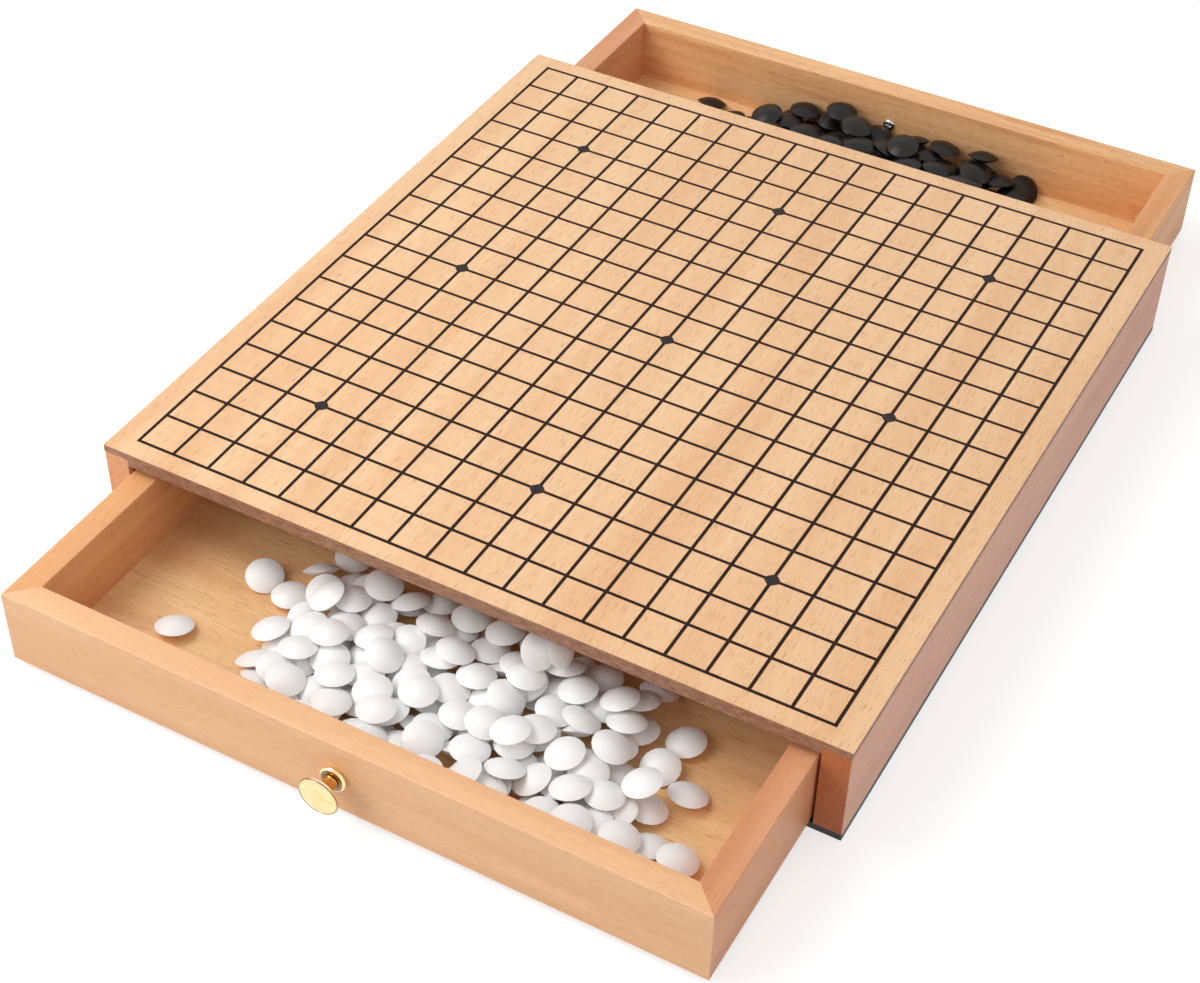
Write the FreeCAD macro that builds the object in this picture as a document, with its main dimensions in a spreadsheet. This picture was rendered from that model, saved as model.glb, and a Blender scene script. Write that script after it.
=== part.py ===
import FreeCAD, Part
import math
import os
import random
import Sketcher

# A 19 by 19 go board on a case with two stone drawers. The case opens at the front and at the
# back, and each drawer slides out of its own end with one colour of stones in it. All sizes are
# in millimetres. The origin is the middle of the underside, +X is right, +Y is back, +Z is up,
# and the drawers stand pulled out by pull_out.

SIZES = {
    # case
    "board_width": 424.0,
    "board_depth": 450.0,
    "wall_thickness": 14.8,
    "wall_height": 52.7,
    "felt_thickness": 1.0,
    "base_thickness": 3.0,
    "lip_thickness": 3.7,
    "tongue_depth": 3.9,
    "veneer_thickness": 0.6,
    "divider_thickness": 12.0,
    "housing_depth": 5.0,
    "wall_arris": 0.6,
    # printed grid
    "lines": 19,
    "column_pitch": 22.0,
    "row_pitch": 23.7,
    "line_width": 1.4,
    "print_thickness": 0.05,
    "star_side": 7.0,
    "star_corner": 1.9,
    # drawers
    "drawer_height": 44.5,
    "drawer_wall": 14.6,
    "drawer_floor": 4.2,
    "rabbet_width": 7.0,
    "drawer_arris": 0.8,
    "side_clearance": 1.8,
    "running_clearance": 0.3,
    "closed_gap": 0.6,
    "pull_out": 104.0,
    # knobs and their screws
    "knob_radius": 11.0,
    "knob_projection": 16.0,
    "knob_disc": 2.2,
    "knob_dome_radius": 50.0,
    "knob_dome_step": 4.0,
    "knob_neck_radius": 3.5,
    "knob_flare_radius": 6.0,
    "knob_flare": 1.6,
    "knob_base_radius": 7.3,
    "knob_base_edge": 1.6,
    "knob_base_bevel": 0.5,
    "knob_bore_depth": 9.0,
    "bolt_radius": 2.0,
    "bolt_reach": 8.0,
    "bolt_head_radius": 4.0,
    "bolt_head_height": 2.4,
    "bolt_head_flat": 2.6,
    "bolt_slot_width": 0.9,
    "bolt_slot_length": 4.4,
    "bolt_slot_depth": 1.2,
    "bolt_gap": 0.25,
    "thread_gap": 0.05,
    # stones
    "stone_radius": 10.2,
    "stone_thickness": 7.0,
    "stone_gap": 0.03,
    "wall_gap": 0.3,
}

STONE_SIDES = 8
STONE_RING = 0.42
KNOB_SIDES = 24
DOME_RINGS = 3
BOLT_SIDES = 16
HALF_TURN = 180.0
QUARTER_TURN = 90.0
EIGHTH_TURN = 45.0

# Lengths and heights that follow from the sizes, as expressions that the sheet works out
INNER_WIDTH = "(Sizes.board_width - 2 * Sizes.wall_thickness)"
BASE_BOTTOM = "Sizes.felt_thickness"
BASE_TOP = f"({BASE_BOTTOM} + Sizes.base_thickness)"
WALL_TOP = f"({BASE_TOP} + Sizes.wall_height)"
TONGUE_BOTTOM = f"({WALL_TOP} - Sizes.tongue_depth)"
PANEL_TOP = f"({WALL_TOP} + Sizes.lip_thickness)"
BOARD_TOP = f"({PANEL_TOP} + Sizes.veneer_thickness)"
DIVIDER_HEIGHT = "(Sizes.wall_height - Sizes.tongue_depth)"
DRAWER_WIDTH = f"({INNER_WIDTH} - 2 * Sizes.side_clearance)"
DRAWER_LENGTH = "((Sizes.board_depth - Sizes.divider_thickness) / 2 - Sizes.closed_gap)"
DRAWER_CENTRE = f"(Sizes.board_depth / 2 + Sizes.pull_out - {DRAWER_LENGTH} / 2)"
DRAWER_BOTTOM = f"({BASE_TOP} + Sizes.running_clearance)"
FLOOR_EDGE = "(Sizes.drawer_wall - Sizes.rabbet_width)"


doc = FreeCAD.newDocument("GoBoard")


def make_sheet():
    sheet = doc.addObject("Spreadsheet::Sheet", "Sizes")
    for row, (alias, value) in enumerate(SIZES.items(), start=1):
        sheet.set(f"A{row}", alias)
        sheet.set(f"B{row}", str(value))
        sheet.setAlias(f"B{row}", alias)
    doc.recompute()


make_sheet()


# Small tools of the trade: placing, boxes, sketches

def bind(thing, **expressions):
    for name, expression in expressions.items():
        thing.setExpression(name.replace("__", "."), expression)


def place(thing, x="0", y="0", z="0"):
    bind(thing, Placement__Base__x=x, Placement__Base__y=y, Placement__Base__z=z)


def turned(thing, axis, angle):
    thing.Placement = FreeCAD.Placement(FreeCAD.Vector(), FreeCAD.Rotation(axis, angle))


def part(kind, label, **expressions):
    thing = doc.addObject(f"Part::{kind}", label)
    thing.Label = label
    bind(thing, **expressions)
    return thing


def slab(label, width, depth, height, z, x=None, y=None):
    """A rectangular board, centred on X and Y unless told otherwise, with its underside at z."""
    box = part("Box", label, Length=width, Width=depth, Height=height)
    place(box, x or f"-{width} / 2", y or f"-{depth} / 2", z)
    return box


def group(label, members, kind="Compound"):
    gathered = doc.addObject(f"Part::{kind}", label)
    gathered.Label = label
    if kind == "Compound":
        gathered.Links = members
    else:
        gathered.Shapes = members
    return gathered


def cut(label, base, tool):
    result = doc.addObject("Part::Cut", label)
    result.Label = label
    result.Base = base
    result.Tool = tool
    return result


def body(label):
    made = doc.addObject("PartDesign::Body", label)
    made.Label = label
    return made


def sketch_on(owner, name, role):
    sketch = owner.newObject("Sketcher::SketchObject", name)
    plane = next(f for f in owner.Origin.OriginFeatures if f.Role == role)
    sketch.AttachmentSupport = [(plane, "")]
    sketch.MapMode = "FlatFace"
    return sketch


def pin_point(sketch, geometry, point, x, y):
    """Hold one point of a sketch at the two expressions x and y from the origin."""
    for kind, expression in (("DistanceX", x), ("DistanceY", y)):
        number = sketch.addConstraint(Sketcher.Constraint(kind, -1, 1, geometry, point, 1.0))
        sketch.setExpression(f"Constraints[{number}]", expression)


def add_outline(sketch, corners):
    """A closed outline of straight sides. Each corner is a pair of expressions."""
    count = len(corners)
    first = sketch.GeometryCount
    ring = []
    for number in range(count):
        angle = 2 * math.pi * number / count
        ring.append(FreeCAD.Vector(math.cos(angle), math.sin(angle), 0))
    for number in range(count):
        sketch.addGeometry(Part.LineSegment(ring[number], ring[(number + 1) % count]))
    for number, (x, y) in enumerate(corners):
        following = first + (number + 1) % count
        sketch.addConstraint(Sketcher.Constraint("Coincident", first + number, 2, following, 1))
        pin_point(sketch, first + number, 1, x, y)


def add_circle(sketch, x, y, radius):
    number = sketch.addGeometry(Part.Circle(FreeCAD.Vector(), FreeCAD.Vector(0, 0, 1), 1.0))
    pin_point(sketch, number, 3, x, y)
    size = sketch.addConstraint(Sketcher.Constraint("Radius", number, 1.0))
    sketch.setExpression(f"Constraints[{size}]", radius)


def pad(owner, sketch, length, symmetric=False):
    feature = owner.newObject("PartDesign::Pad", f"{owner.Name}_pad")
    feature.Profile = sketch
    feature.setExpression("Length", length)
    if symmetric:
        feature.SideType = "Symmetric"
    return feature


def pocket(owner, sketch, depth=None, reverse=False):
    feature = owner.newObject("PartDesign::Pocket", f"{sketch.Name}_pocket")
    feature.Profile = sketch
    if depth is None:
        feature.Type = "ThroughAll"
        feature.SideType = "Symmetric"
    else:
        feature.setExpression("Length", depth)
        feature.Reversed = reverse
    return feature


def round_edges(owner, wanted, radius):
    """Fillet every edge of the body that the test wanted picks out."""
    doc.recompute()
    tip = owner.Tip
    names = []
    for number, edge in enumerate(tip.Shape.Edges, start=1):
        if wanted(edge):
            names.append(f"Edge{number}")
    feature = owner.newObject("PartDesign::Fillet", f"{owner.Name}_arris")
    feature.Base = (tip, names)
    feature.setExpression("Radius", radius)
    return feature


# The felt and the base board: a black-stained fibreboard, faced with felt below, closes the case
# and is the track that both drawers slide on.

def make_base():
    slab("base_felt", "Sizes.board_width", "Sizes.board_depth", "Sizes.felt_thickness", "0")
    slab("base_board", "Sizes.board_width", "Sizes.board_depth", "Sizes.base_thickness",
         BASE_BOTTOM)


# The side walls: one solid beech board each, over the full depth, with a housing across the
# middle for the divider.

WALL_LINE = "(Sizes.board_width / 2 - Sizes.wall_thickness / 2)"


def make_side_wall(label, side, angle):
    wall = body(label)
    section = sketch_on(wall, f"{label}_section", "XY_Plane")
    inner = "-Sizes.wall_thickness / 2"
    outer = "Sizes.wall_thickness / 2"
    front = "-Sizes.board_depth / 2"
    back = "Sizes.board_depth / 2"
    add_outline(section, [(inner, front), (outer, front), (outer, back), (inner, back)])
    pad(wall, section, "Sizes.wall_height")

    housing = sketch_on(wall, f"{label}_housing", "XY_Plane")
    floor_of_housing = f"{inner} + Sizes.housing_depth"
    half = "Sizes.divider_thickness / 2"
    add_outline(housing, [(inner, f"-{half}"), (floor_of_housing, f"-{half}"),
                          (floor_of_housing, half), (inner, half)])
    pocket(wall, housing, DIVIDER_HEIGHT, reverse=True)

    def outer_upright(edge):
        box = edge.BoundBox
        far_out = box.XMin > SIZES["wall_thickness"] / 2 - SIZES["wall_arris"]
        return far_out and box.ZLength > SIZES["wall_height"] / 2

    round_edges(wall, outer_upright, "Sizes.wall_arris")
    turned(wall, FreeCAD.Vector(0, 0, 1), angle)
    place(wall, f"{side} * {WALL_LINE}", "0", BASE_TOP)


# The divider stands across the middle between the two drawers, let into both side walls. It
# stops each drawer and carries the top.

def make_divider():
    width = f"({INNER_WIDTH} + 2 * Sizes.housing_depth)"
    slab("centre_divider", width, "Sizes.divider_thickness", DIVIDER_HEIGHT, BASE_TOP)


# The top panel: fibreboard, rebated along both sides so that a thin lip covers the side walls
# and the thicker middle drops between them. The beech veneer is glued on top of it.

def make_top():
    panel = body("top_panel")
    section = sketch_on(panel, "top_panel_section", "XZ_Plane")
    half = "Sizes.board_width / 2"
    inner = f"{INNER_WIDTH} / 2"
    add_outline(section, [
        (f"-{inner}", TONGUE_BOTTOM), (inner, TONGUE_BOTTOM),
        (inner, WALL_TOP), (half, WALL_TOP),
        (half, PANEL_TOP), (f"-{half}", PANEL_TOP),
        (f"-{half}", WALL_TOP), (f"-{inner}", WALL_TOP)])
    pad(panel, section, "Sizes.board_depth", symmetric=True)
    slab("surface_veneer", "Sizes.board_width", "Sizes.board_depth",
         "Sizes.veneer_thickness", PANEL_TOP)


# The printed grid: the lines that run from front to back are printed first, the lines across lie
# over them, and the nine star points are printed last of all.

def line_offset(number, pitch):
    return f"(({number} - (Sizes.lines - 1) / 2) * {pitch})"


def make_grid():
    span = "(Sizes.lines - 1)"
    columns = []
    rows = []
    for number in range(int(SIZES["lines"])):
        x = f"{line_offset(number, 'Sizes.column_pitch')} - Sizes.line_width / 2"
        column = slab(f"column_{number}", "Sizes.line_width",
                      f"({span} * Sizes.row_pitch + Sizes.line_width)",
                      "Sizes.print_thickness", BOARD_TOP, x=x)
        columns.append(column)
        y = f"{line_offset(number, 'Sizes.row_pitch')} - Sizes.line_width / 2"
        row = slab(f"row_{number}", f"({span} * Sizes.column_pitch + Sizes.line_width)",
                   "Sizes.line_width", "Sizes.print_thickness",
                   f"{BOARD_TOP} + Sizes.print_thickness", y=y)
        rows.append(row)
    group("grid_lines", columns + rows)

    middle = (int(SIZES["lines"]) - 1) // 2
    edge = middle // 3
    stars = []
    for column in (edge, middle, 2 * middle - edge):
        for row in (edge, middle, 2 * middle - edge):
            stars.append(make_star(f"star_{column}_{row}", column, row))
    group("star_points", stars)


def make_star(label, column, row):
    """One star point: a small square with its corners cut off, set corner-wise on the crossing."""
    blank = part("Box", f"{label}_blank", Length="Sizes.star_side", Width="Sizes.star_side",
                 Height="Sizes.print_thickness")
    doc.recompute()
    star = doc.addObject("Part::Chamfer", label)
    star.Label = label
    star.Base = blank
    uprights = []
    for number, edge in enumerate(blank.Shape.Edges, start=1):
        if edge.BoundBox.ZLength > SIZES["print_thickness"] / 2:
            uprights.append((number, SIZES["star_corner"], SIZES["star_corner"]))
    star.Edges = uprights
    turned(star, FreeCAD.Vector(0, 0, 1), EIGHTH_TURN)
    place(star, line_offset(column, "Sizes.column_pitch"),
          f"{line_offset(row, 'Sizes.row_pitch')} - Sizes.star_side / sqrt(2)",
          f"{BOARD_TOP} + 2 * Sizes.print_thickness")
    return star


# The drawers. Each is a beech frame of four boards, mitred at the corners, with a rebate round
# the lower inside edge that takes the plywood floor. The rear drawer is the front one turned by
# half a turn. A board is drawn with its outer face on Y = 0 and is then set at its side.

def make_drawer_wall(label, length, drilled=False):
    wall = body(label)
    section = sketch_on(wall, f"{label}_section", "YZ_Plane")
    add_outline(section, [
        ("0", "0"), (FLOOR_EDGE, "0"), (FLOOR_EDGE, "Sizes.drawer_floor"),
        ("Sizes.drawer_wall", "Sizes.drawer_floor"),
        ("Sizes.drawer_wall", "Sizes.drawer_height"), ("0", "Sizes.drawer_height")])
    pad(wall, section, length, symmetric=True)

    mitres = sketch_on(wall, f"{label}_mitres", "XY_Plane")
    for end in ("", "-"):
        corner = f"{end}({length} / 2)"
        inside = f"{end}({length} / 2 - Sizes.drawer_wall)"
        add_outline(mitres, [(corner, "0"), (corner, "Sizes.drawer_wall"),
                             (inside, "Sizes.drawer_wall")])
    pocket(wall, mitres)
    if drilled:
        hole = sketch_on(wall, f"{label}_hole", "XZ_Plane")
        add_circle(hole, "0", "Sizes.drawer_height / 2", "Sizes.bolt_radius + Sizes.bolt_gap")
        pocket(wall, hole)

    def top_edge(edge):
        box = edge.BoundBox
        on_top = box.ZMin > SIZES["drawer_height"] - SIZES["drawer_arris"] / 2
        return on_top and box.YLength < SIZES["drawer_wall"] / 2

    round_edges(wall, top_edge, "Sizes.drawer_arris")
    return wall


def set_in_drawer(thing, turn, x="0", y="0", z="0"):
    """Place a thing that was drawn about the middle of the drawer's underside."""
    place(thing, f"{turn} * ({x})", f"{turn} * ({y} - {DRAWER_CENTRE})",
          f"{DRAWER_BOTTOM} + {z}")


def make_drawer(end, turn):
    name = f"{end}_drawer"
    facing = 0.0 if turn > 0 else HALF_TURN
    up = FreeCAD.Vector(0, 0, 1)
    half_width = f"{DRAWER_WIDTH} / 2"
    half_length = f"{DRAWER_LENGTH} / 2"

    face = make_drawer_wall(f"{name}_face", DRAWER_WIDTH, drilled=True)
    turned(face, up, facing)
    set_in_drawer(face, turn, y=f"-{half_length}")

    back = make_drawer_wall(f"{name}_back", DRAWER_WIDTH)
    turned(back, up, facing + HALF_TURN)
    set_in_drawer(back, turn, y=half_length)

    right = make_drawer_wall(f"{name}_right_side", DRAWER_LENGTH)
    turned(right, up, facing + QUARTER_TURN)
    set_in_drawer(right, turn, x=half_width)

    left = make_drawer_wall(f"{name}_left_side", DRAWER_LENGTH)
    turned(left, up, facing - QUARTER_TURN)
    set_in_drawer(left, turn, x=f"-{half_width}")

    slab(f"{name}_floor", f"({DRAWER_WIDTH} - 2 * {FLOOR_EDGE})",
         f"({DRAWER_LENGTH} - 2 * {FLOOR_EDGE})", "Sizes.drawer_floor", DRAWER_BOTTOM,
         y=f"-{turn} * {DRAWER_CENTRE} - ({DRAWER_LENGTH} - 2 * {FLOOR_EDGE}) / 2")
    make_knob(name, turn)
    make_knob_bolt(name, turn)


# The knob: turned brass on a round foot, with a thin neck that flares into a slightly domed disc.
# Its axis is drawn along Z and is then laid out of the drawer's face. It is turned from flat
# faces, which keeps a round shape light.

def ring_solid(rings, sides):
    """A turned solid of flat faces. Each ring is (height, radius), from the lowest to the top."""
    corners = []
    for height, radius in rings:
        ring = []
        for number in range(sides):
            angle = 2 * math.pi * number / sides
            ring.append(FreeCAD.Vector(radius * math.cos(angle), radius * math.sin(angle), height))
        corners.append(ring)
    outlines = [corners[0][::-1], corners[-1]]
    for lower, upper in zip(corners, corners[1:]):
        for number in range(sides):
            following = (number + 1) % sides
            outlines.append([lower[number], lower[following], upper[following], upper[number]])
    faces = [Part.Face(Part.makePolygon(outline + outline[:1])) for outline in outlines]
    return Part.Solid(Part.Shell(faces))


def turned_blank(label, rings, sides):
    blank = doc.addObject("Part::Feature", label)
    blank.Shape = ring_solid(rings, sides)
    return blank


def lie_outwards(thing, turn):
    axis = FreeCAD.Rotation(FreeCAD.Vector(1, 0, 0), QUARTER_TURN * turn)
    thing.Placement = FreeCAD.Placement(FreeCAD.Vector(), axis)


def knob_rings():
    radius, edge, bevel = SIZES["knob_base_radius"], SIZES["knob_base_edge"], SIZES["knob_base_bevel"]
    neck, flare = SIZES["knob_neck_radius"], SIZES["knob_flare_radius"]
    dome = SIZES["knob_dome_radius"]
    disc_back = SIZES["knob_projection"] - SIZES["knob_disc"]
    rings = [(0, radius - edge), (bevel, radius - bevel), (edge, radius),
             (2 * edge - bevel, radius - bevel), (2 * edge, radius - edge), (2 * edge, neck),
             (disc_back - SIZES["knob_flare"], neck), (disc_back, flare),
             (disc_back, SIZES["knob_radius"])]
    for step in range(DOME_RINGS):
        across = SIZES["knob_radius"] - step * SIZES["knob_dome_step"]
        drop = dome - math.sqrt(dome ** 2 - across ** 2)
        rings.append((SIZES["knob_projection"] - drop, across))
    return rings


def make_knob(name, turn):
    label = f"{name}_knob"
    blank = turned_blank(f"{label}_blank", knob_rings(), KNOB_SIDES)
    bore = part("Prism", f"{label}_bore", Circumradius="Sizes.bolt_radius + Sizes.thread_gap",
                Height="Sizes.knob_bore_depth")
    bore.Polygon = BOLT_SIDES
    knob = cut(label, blank, bore)
    lie_outwards(knob, turn)
    set_in_drawer(knob, turn, y=f"-{DRAWER_LENGTH} / 2", z="Sizes.drawer_height / 2")


# The bolt that holds the knob from inside the drawer: a cross-slotted round head on the inner
# face of the board, with its shank through the hole and up the bore of the knob.

def bolt_rings():
    radius, flat = SIZES["bolt_head_radius"], SIZES["bolt_head_flat"]
    height = SIZES["bolt_head_height"]
    return [(-height, flat), (-height / 2, (flat + 2 * radius) / 3), (0, radius),
            (0, SIZES["bolt_radius"]),
            (SIZES["drawer_wall"] + SIZES["bolt_reach"], SIZES["bolt_radius"])]


def make_knob_bolt(name, turn):
    label = f"{name}_knob_bolt"
    blank = turned_blank(f"{label}_blank", bolt_rings(), BOLT_SIDES)
    slots = []
    for number, sizes in enumerate((("length", "width"), ("width", "length"))):
        across, along = (f"Sizes.bolt_slot_{size}" for size in sizes)
        slot = part("Box", f"{label}_slot_{number}", Length=across, Width=along,
                    Height="Sizes.bolt_slot_depth")
        place(slot, f"-{across} / 2", f"-{along} / 2", "-Sizes.bolt_head_height")
        slots.append(slot)
    bolt = cut(label, blank, group(f"{label}_slots", slots, "MultiFuse"))
    lie_outwards(bolt, turn)
    set_in_drawer(bolt, turn, y=f"-{DRAWER_LENGTH} / 2 + Sizes.drawer_wall",
                  z="Sizes.drawer_height / 2")


# The stones: lenses, each the space that two equal balls share. They lie loose in their drawer,
# so each is dropped on what lies there already and slides and tips a little to its lowest place.
# A stone's axis is its short way through, and all the sums below are in the drawer's own frame.

STONE_RADIUS = SIZES["stone_radius"]
HALF_THICKNESS = SIZES["stone_thickness"] / 2
BALL_RADIUS = (STONE_RADIUS ** 2 + HALF_THICKNESS ** 2) / (2 * HALF_THICKNESS)
BALL_OFFSET = BALL_RADIUS - HALF_THICKNESS
CAP_COSINE = BALL_OFFSET / BALL_RADIUS
SETTLING_STEPS = 46
SLIDE = 4.5
TIP = 0.12
LEAN = 0.07
FARTHEST_SLIDE = 11.0
SLOPE_STEP = 0.8
FINEST_SLOPE = 0.01


def unit(x, y, z):
    length = math.sqrt(x * x + y * y + z * z)
    return (x / length, y / length, z / length)


def reach(axis, x, y, z):
    """How far a stone reaches from its middle along (x, y, z), times that vector's length."""
    along = abs(axis[0] * x + axis[1] * y + axis[2] * z)
    squared = x * x + y * y + z * z
    if along * along > squared * CAP_COSINE * CAP_COSINE:
        return BALL_RADIUS * math.sqrt(squared) - BALL_OFFSET * along
    return STONE_RADIUS * math.sqrt(squared - along * along)


def stacking_height(upper, lower, dx, dy):
    """The height between the middles of two stones when the upper one just touches the lower.

    Every plane of slope (sx, sy) that keeps the two apart gives a height that is enough, and the
    least of them all is the true one.
    """
    sx = sy = 0.0
    best = reach(upper, 0, 0, 1) + reach(lower, 0, 0, 1)
    step = SLOPE_STEP
    while step > FINEST_SLOPE:
        moved = False
        for ax, ay in ((step, 0), (-step, 0), (0, step), (0, -step)):
            tx, ty = sx + ax, sy + ay
            trial = reach(upper, tx, ty, 1) + reach(lower, tx, ty, 1) - tx * dx - ty * dy
            if trial < best:
                best, sx, sy, moved = trial, tx, ty, True
        if best < -2 * STONE_RADIUS:
            return best
        if not moved:
            step /= 2
    return best


class Heap:
    """The stones of one drawer, kept inside its walls, under its rim and clear of the bolt."""

    def __init__(self, seed):
        inner = SIZES["board_width"] - 2 * SIZES["wall_thickness"] - 2 * SIZES["side_clearance"]
        length = (SIZES["board_depth"] - SIZES["divider_thickness"]) / 2 - SIZES["closed_gap"]
        self.half_width = inner / 2 - SIZES["drawer_wall"] - SIZES["wall_gap"]
        self.half_length = length / 2 - SIZES["drawer_wall"] - SIZES["wall_gap"]
        self.floor = SIZES["drawer_floor"]
        self.rim = SIZES["drawer_height"]
        self.bolt_height = SIZES["drawer_height"] / 2
        self.bolt_tip = SIZES["bolt_head_height"] - self.half_length
        self.bolt_radius = SIZES["bolt_head_radius"] + SIZES["wall_gap"]
        self.random = random.Random(seed)
        self.stones = []

    def rest(self, x, y, axis, ceiling=math.inf):
        """The height at which a stone comes to rest over (x, y).

        It is None where a wall or the bolt stops the stone, or where it would lie no lower than
        the ceiling.
        """
        if abs(x) > self.half_width - reach(axis, 1, 0, 0):
            return None
        if abs(y) > self.half_length - reach(axis, 0, 1, 0):
            return None
        below = reach(axis, 0, 0, 1)
        height = self.floor + below
        for other_x, other_y, other_z, other_axis in self.stones:
            dx, dy = x - other_x, y - other_y
            if dx * dx + dy * dy > 4 * STONE_RADIUS * STONE_RADIUS:
                continue
            if other_z + below + reach(other_axis, 0, 0, 1) > height:
                height = max(height, other_z + stacking_height(axis, other_axis, dx, dy))
            if height >= ceiling:
                return None
        if self.strikes_bolt(x, y, height, axis):
            return None
        return height

    def strikes_bolt(self, x, y, z, axis):
        """Whether a stone there would reach the round head in the middle of the drawer's face."""
        beside = abs(x) < reach(axis, 1, 0, 0) + self.bolt_radius
        behind = y < reach(axis, 0, 1, 0) + self.bolt_tip
        level = abs(z - self.bolt_height) < reach(axis, 0, 0, 1) + self.bolt_radius
        return beside and behind and level

    def drop(self, x, y, lean_x=0.0, lean_y=0.0, steps=SETTLING_STEPS, slide=SLIDE, tip=TIP):
        """Drop a stone near (x, y), let it settle, and keep it if it lies below the rim."""
        start = (x, y)
        axis = unit(lean_x, lean_y, 1.0)
        height = self.rest(x, y, axis)
        for step in range(steps):
            share = 1.0 - step / steps
            trial_x = x + self.random.gauss(0, slide * share)
            trial_y = y + self.random.gauss(0, slide * share)
            if math.hypot(trial_x - start[0], trial_y - start[1]) > FARTHEST_SLIDE:
                continue
            trial_axis = unit(axis[0] + self.random.gauss(0, tip * share),
                              axis[1] + self.random.gauss(0, tip * share), axis[2])
            trial = self.rest(trial_x, trial_y, trial_axis, math.inf if height is None else height)
            if trial is not None:
                x, y, axis, height = trial_x, trial_y, trial_axis, trial
        if height is not None and height + reach(axis, 0, 0, 1) < self.rim:
            self.stones.append((x, y, height + SIZES["stone_gap"], axis))


def stone_blank():
    """One stone as a solid of flat faces, with every corner on the true lens."""
    rings = []
    for share, side in ((STONE_RING, -1), (1.0, 0), (STONE_RING, 1)):
        radius = share * STONE_RADIUS
        height = side * (math.sqrt(BALL_RADIUS ** 2 - radius ** 2) - BALL_OFFSET)
        rings.append((height, radius))
    return ring_solid(rings, STONE_SIDES)


def make_stones(label, heap, turn):
    blank = stone_blank()
    up = FreeCAD.Vector(0, 0, 1)
    solids = []
    for x, y, z, axis in heap.stones:
        solid = blank.copy()
        solid.Placement = FreeCAD.Placement(FreeCAD.Vector(x, y, z),
                                            FreeCAD.Rotation(up, FreeCAD.Vector(*axis)))
        solids.append(solid)
    stones = doc.addObject("Part::Feature", label)
    stones.Label = label
    stones.Shape = Part.makeCompound(solids)
    turned(stones, up, 0.0 if turn > 0 else HALF_TURN)
    set_in_drawer(stones, turn)


# White stones: a wide heap against the face of the front drawer, a few that rolled to either
# side, and three that lean on edge in the middle of the heap.

EVEN_ACROSS, EVEN_ALONG = 0.7549, 0.5698
LOOSE_STEPS = 12
LOOSE_SLIDE = 1.0
WHITE_LOOSE = [(-131, -58), (-114, -6), (-96, -9), (-88, 10), (-85, 29),
               (96, 21), (124, 3), (101, -3), (107, -25), (121, -18), (141, -27), (129, -46),
               (141, -62), (156, -67)]
WHITE_ON_EDGE = [(37, -9), (46, 0), (54, 7)]
ON_EDGE_LEAN = (1.7, -0.6)
ON_EDGE_STEPS = 10
ON_EDGE_TIP = 0.08
WHITE_HEAP = 142
WHITE_FRONT, WHITE_BACK = -88, 12
WHITE_MIDDLE, WHITE_DRIFT = 4, 28
WHITE_HALF_WIDTH, WHITE_WIDENING = 84, 34


def scatter(number):
    """Two shares from 0 to 1 that spread evenly, with no clumps or holes, as the number grows."""
    return number * EVEN_ACROSS % 1, number * EVEN_ALONG % 1


def fill_front_drawer():
    heap = Heap(seed=19)
    for x, y in WHITE_LOOSE:
        heap.drop(x, y, steps=LOOSE_STEPS, slide=LOOSE_SLIDE)
    for number in range(WHITE_HEAP):
        across, along = scatter(number)
        y = WHITE_BACK + (WHITE_FRONT - WHITE_BACK) * along
        middle = WHITE_MIDDLE + WHITE_DRIFT * along
        half_width = WHITE_HALF_WIDTH + WHITE_WIDENING * along
        x = middle + half_width * (2 * across - 1)
        heap.drop(x, y, heap.random.gauss(0, LEAN), heap.random.gauss(0, LEAN))
    for x, y in WHITE_ON_EDGE:
        heap.drop(x, y, *ON_EDGE_LEAN, steps=ON_EDGE_STEPS, slide=LOOSE_SLIDE, tip=ON_EDGE_TIP)
    return heap


# Black stones: a smaller heap against the face of the rear drawer, and a few beside it.

BLACK_LOOSE = [(117, -80), (103, -70), (84, -83)]
BLACK_HEAP = 84
BLACK_FRONT, BLACK_BACK = -87, -38
BLACK_MIDDLE, BLACK_HALF_WIDTH = -6, 90
BLACK_CROWDING = 1.1


def fill_rear_drawer():
    heap = Heap(seed=361)
    for x, y in BLACK_LOOSE:
        heap.drop(x, y, steps=LOOSE_STEPS, slide=LOOSE_SLIDE)
    for number in range(BLACK_HEAP):
        across, along = scatter(number)
        y = BLACK_FRONT + (BLACK_BACK - BLACK_FRONT) * along ** BLACK_CROWDING
        x = BLACK_MIDDLE + BLACK_HALF_WIDTH * (2 * across - 1)
        heap.drop(x, y, heap.random.gauss(0, LEAN), heap.random.gauss(0, LEAN))
    return heap


# Putting it together

NODES = ["base_felt", "base_board", "left_side_wall", "right_side_wall",
         "centre_divider", "top_panel", "surface_veneer", "grid_lines", "star_points"]
DRAWER_NODES = ["face", "back", "left_side", "right_side", "floor", "knob", "knob_bolt"]

make_base()
make_side_wall("left_side_wall", -1, HALF_TURN)
make_side_wall("right_side_wall", 1, 0.0)
make_divider()
make_top()
make_grid()
for end, turn in (("front", 1), ("rear", -1)):
    make_drawer(end, turn)
    NODES += [f"{end}_drawer_{piece}" for piece in DRAWER_NODES]
make_stones("white_stones", fill_front_drawer(), 1)
make_stones("black_stones", fill_rear_drawer(), -1)
NODES += ["white_stones", "black_stones"]

doc.recompute()
for thing in doc.Objects:
    if "Invalid" in thing.State or "Error" in thing.State:
        raise RuntimeError(f"{thing.Label} did not rebuild: {thing.State}")

os.makedirs("parts", exist_ok=True)
for label in NODES:
    shape = doc.getObjectsByLabel(label)[0].Shape
    if shape.isNull() or not shape.isValid():
        raise RuntimeError(f"{label} is not a valid solid")
    shape.exportStep(f"parts/{label}.step")
    print(f"{label}: {len(shape.Solids)} solids, {shape.Volume / 1000:.1f} cm3")
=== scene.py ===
import math

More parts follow.
